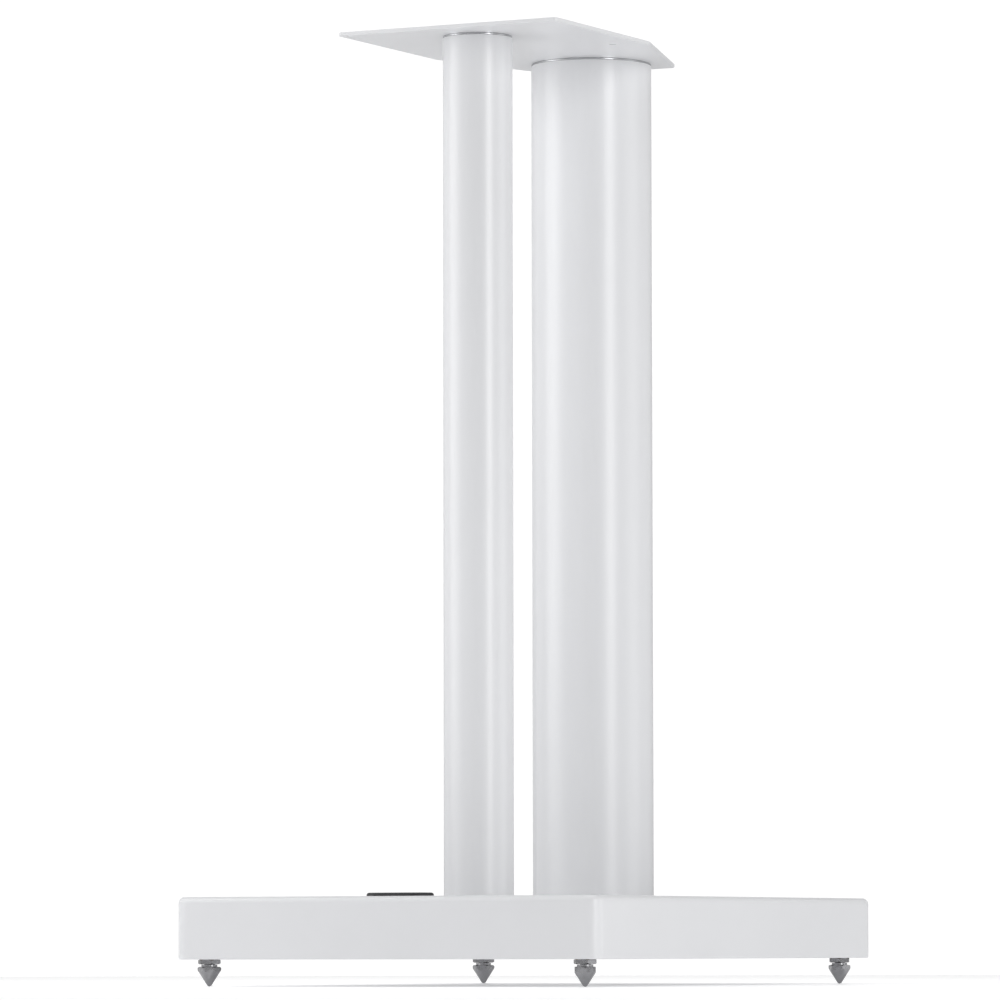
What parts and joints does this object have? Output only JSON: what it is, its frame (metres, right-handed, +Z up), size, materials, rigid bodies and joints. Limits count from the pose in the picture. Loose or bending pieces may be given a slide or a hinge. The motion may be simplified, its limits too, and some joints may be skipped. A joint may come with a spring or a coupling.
{
  "type": "loudspeaker stand",
  "caption": "Floor stand for a stand-mount loudspeaker: thick lacquered plinth on screw-in spikes, a large and a small round column, and a thin tapered top plate.",
  "frame": {"origin": "on the floor, under the middle of the plinth", "axes": "+Z up; -Y is the front, where the large column stands; +Y is the rear, with the small column and the cable grommet; -X is the stand's left as seen from in front"},
  "size_m": [0.301, 0.408, 0.6145],
  "materials": {
    "plinth_lacquer": "satin white lacquer on fibreboard",
    "column_paint": "satin white paint on steel tube",
    "plate_paint": "satin white paint on steel plate",
    "trim_polish": "polished",
    "plug_steel": "plain turned steel",
    "spike_steel": "satin nickel plate",
    "nut_steel": "satin nickel plate",
    "screw_steel": "bright zinc plate",
    "insert_brass": "turned",
    "black_rubber": "moulded, matt"
  },
  "bodies": {
    "stand": {"base_plinth": "plinth_lacquer", "cable_grommet": "black_rubber", "large_tube": "column_paint", "small_tube": "column_paint", "large_trim_ring": "trim_polish", "small_trim_ring": "trim_polish", "large_bottom_plug": "plug_steel", "small_bottom_plug": "plug_steel", "large_top_plug": "plug_steel", "small_top_plug": "plug_steel", "top_plate": "plate_paint", "base_bolt_large_1": "screw_steel", "base_bolt_large_2": "screw_steel", "base_bolt_large_3": "screw_steel", "base_bolt_small_1": "screw_steel", "base_bolt_small_2": "screw_steel", "bolt_washer_large_1": "screw_steel", "bolt_washer_large_2": "screw_steel", "bolt_washer_large_3": "screw_steel", "bolt_washer_small_1": "screw_steel", "bolt_washer_small_2": "screw_steel", "plate_screw_large_1": "screw_steel", "plate_screw_large_2": "screw_steel", "plate_screw_large_3": "screw_steel", "plate_screw_small_1": "screw_steel", "plate_screw_small_2": "screw_steel", "speaker_pad_rear_left": "black_rubber", "speaker_pad_rear_right": "black_rubber", "speaker_pad_front_left": "black_rubber", "speaker_pad_front_right": "black_rubber", "spike_insert_rear_left": "insert_brass", "spike_insert_rear_right": "insert_brass", "spike_insert_front_left": "insert_brass", "spike_insert_front_right": "insert_brass"},
    "stud_rear_left": {"spike_stud_rear_left": "spike_steel"},
    "head_rear_left": {"spike_head_rear_left": "spike_steel"},
    "nut_rear_left": {"lock_nut_rear_left": "nut_steel"},
    "stud_rear_right": {"spike_stud_rear_right": "spike_steel"},
    "head_rear_right": {"spike_head_rear_right": "spike_steel"},
    "nut_rear_right": {"lock_nut_rear_right": "nut_steel"},
    "stud_front_left": {"spike_stud_front_left": "spike_steel"},
    "head_front_left": {"spike_head_front_left": "spike_steel"},
    "nut_front_left": {"lock_nut_front_left": "nut_steel"},
    "stud_front_right": {"spike_stud_front_right": "spike_steel"},
    "head_front_right": {"spike_head_front_right": "spike_steel"},
    "nut_front_right": {"lock_nut_front_right": "nut_steel"}
  },
  "joints": [
    {"name": "spike_travel_rear_left", "type": "slide", "parent": "stand", "child": "stud_rear_left", "axis": [0, 0, -1], "range_m": [0, 0.006]},
    {"name": "spike_turn_rear_left", "type": "hinge", "parent": "stud_rear_left", "child": "head_rear_left", "pos_m": [-0.1335, 0.187, 0], "axis": [0, 0, -1], "range_deg": [0, 1728]},
    {"name": "nut_turn_rear_left", "type": "hinge", "parent": "stand", "child": "nut_rear_left", "pos_m": [-0.1335, 0.187, 0.0154], "axis": [0, 0, -1], "range_deg": [0, 57]},
    {"name": "spike_travel_rear_right", "type": "slide", "parent": "stand", "child": "stud_rear_right", "axis": [0, 0, -1], "range_m": [0, 0.006]},
    {"name": "spike_turn_rear_right", "type": "hinge", "parent": "stud_rear_right", "child": "head_rear_right", "pos_m": [0.1335, 0.187, 0], "axis": [0, 0, -1], "range_deg": [0, 1728]},
    {"name": "nut_turn_rear_right", "type": "hinge", "parent": "stand", "child": "nut_rear_right", "pos_m": [0.1335, 0.187, 0.0154], "axis": [0, 0, -1], "range_deg": [0, 57]},
    {"name": "spike_travel_front_left", "type": "slide", "parent": "stand", "child": "stud_front_left", "axis": [0, 0, -1], "range_m": [0, 0.006]},
    {"name": "spike_turn_front_left", "type": "hinge", "parent": "stud_front_left", "child": "head_front_left", "pos_m": [-0.1335, -0.187, 0], "axis": [0, 0, -1], "range_deg": [0, 1728]},
    {"name": "nut_turn_front_left", "type": "hinge", "parent": "stand", "child": "nut_front_left", "pos_m": [-0.1335, -0.187, 0.0154], "axis": [0, 0, -1], "range_deg": [0, 57]},
    {"name": "spike_travel_front_right", "type": "slide", "parent": "stand", "child": "stud_front_right", "axis": [0, 0, -1], "range_m": [0, 0.006]},
    {"name": "spike_turn_front_right", "type": "hinge", "parent": "stud_front_right", "child": "head_front_right", "pos_m": [0.1335, -0.187, 0], "axis": [0, 0, -1], "range_deg": [0, 1728]},
    {"name": "nut_turn_front_right", "type": "hinge", "parent": "stand", "child": "nut_front_right", "pos_m": [0.1335, -0.187, 0.0154], "axis": [0, 0, -1], "range_deg": [0, 57]}
  ],
  "couplings": [
    {"joint": "spike_turn_rear_left", "follows": "spike_travel_rear_left", "rad_per_m": 5026.5},
    {"joint": "spike_turn_rear_right", "follows": "spike_travel_rear_right", "rad_per_m": 5026.5},
    {"joint": "spike_turn_front_left", "follows": "spike_travel_front_left", "rad_per_m": 5026.5},
    {"joint": "spike_turn_front_right", "follows": "spike_travel_front_right", "rad_per_m": 5026.5}
  ]
}
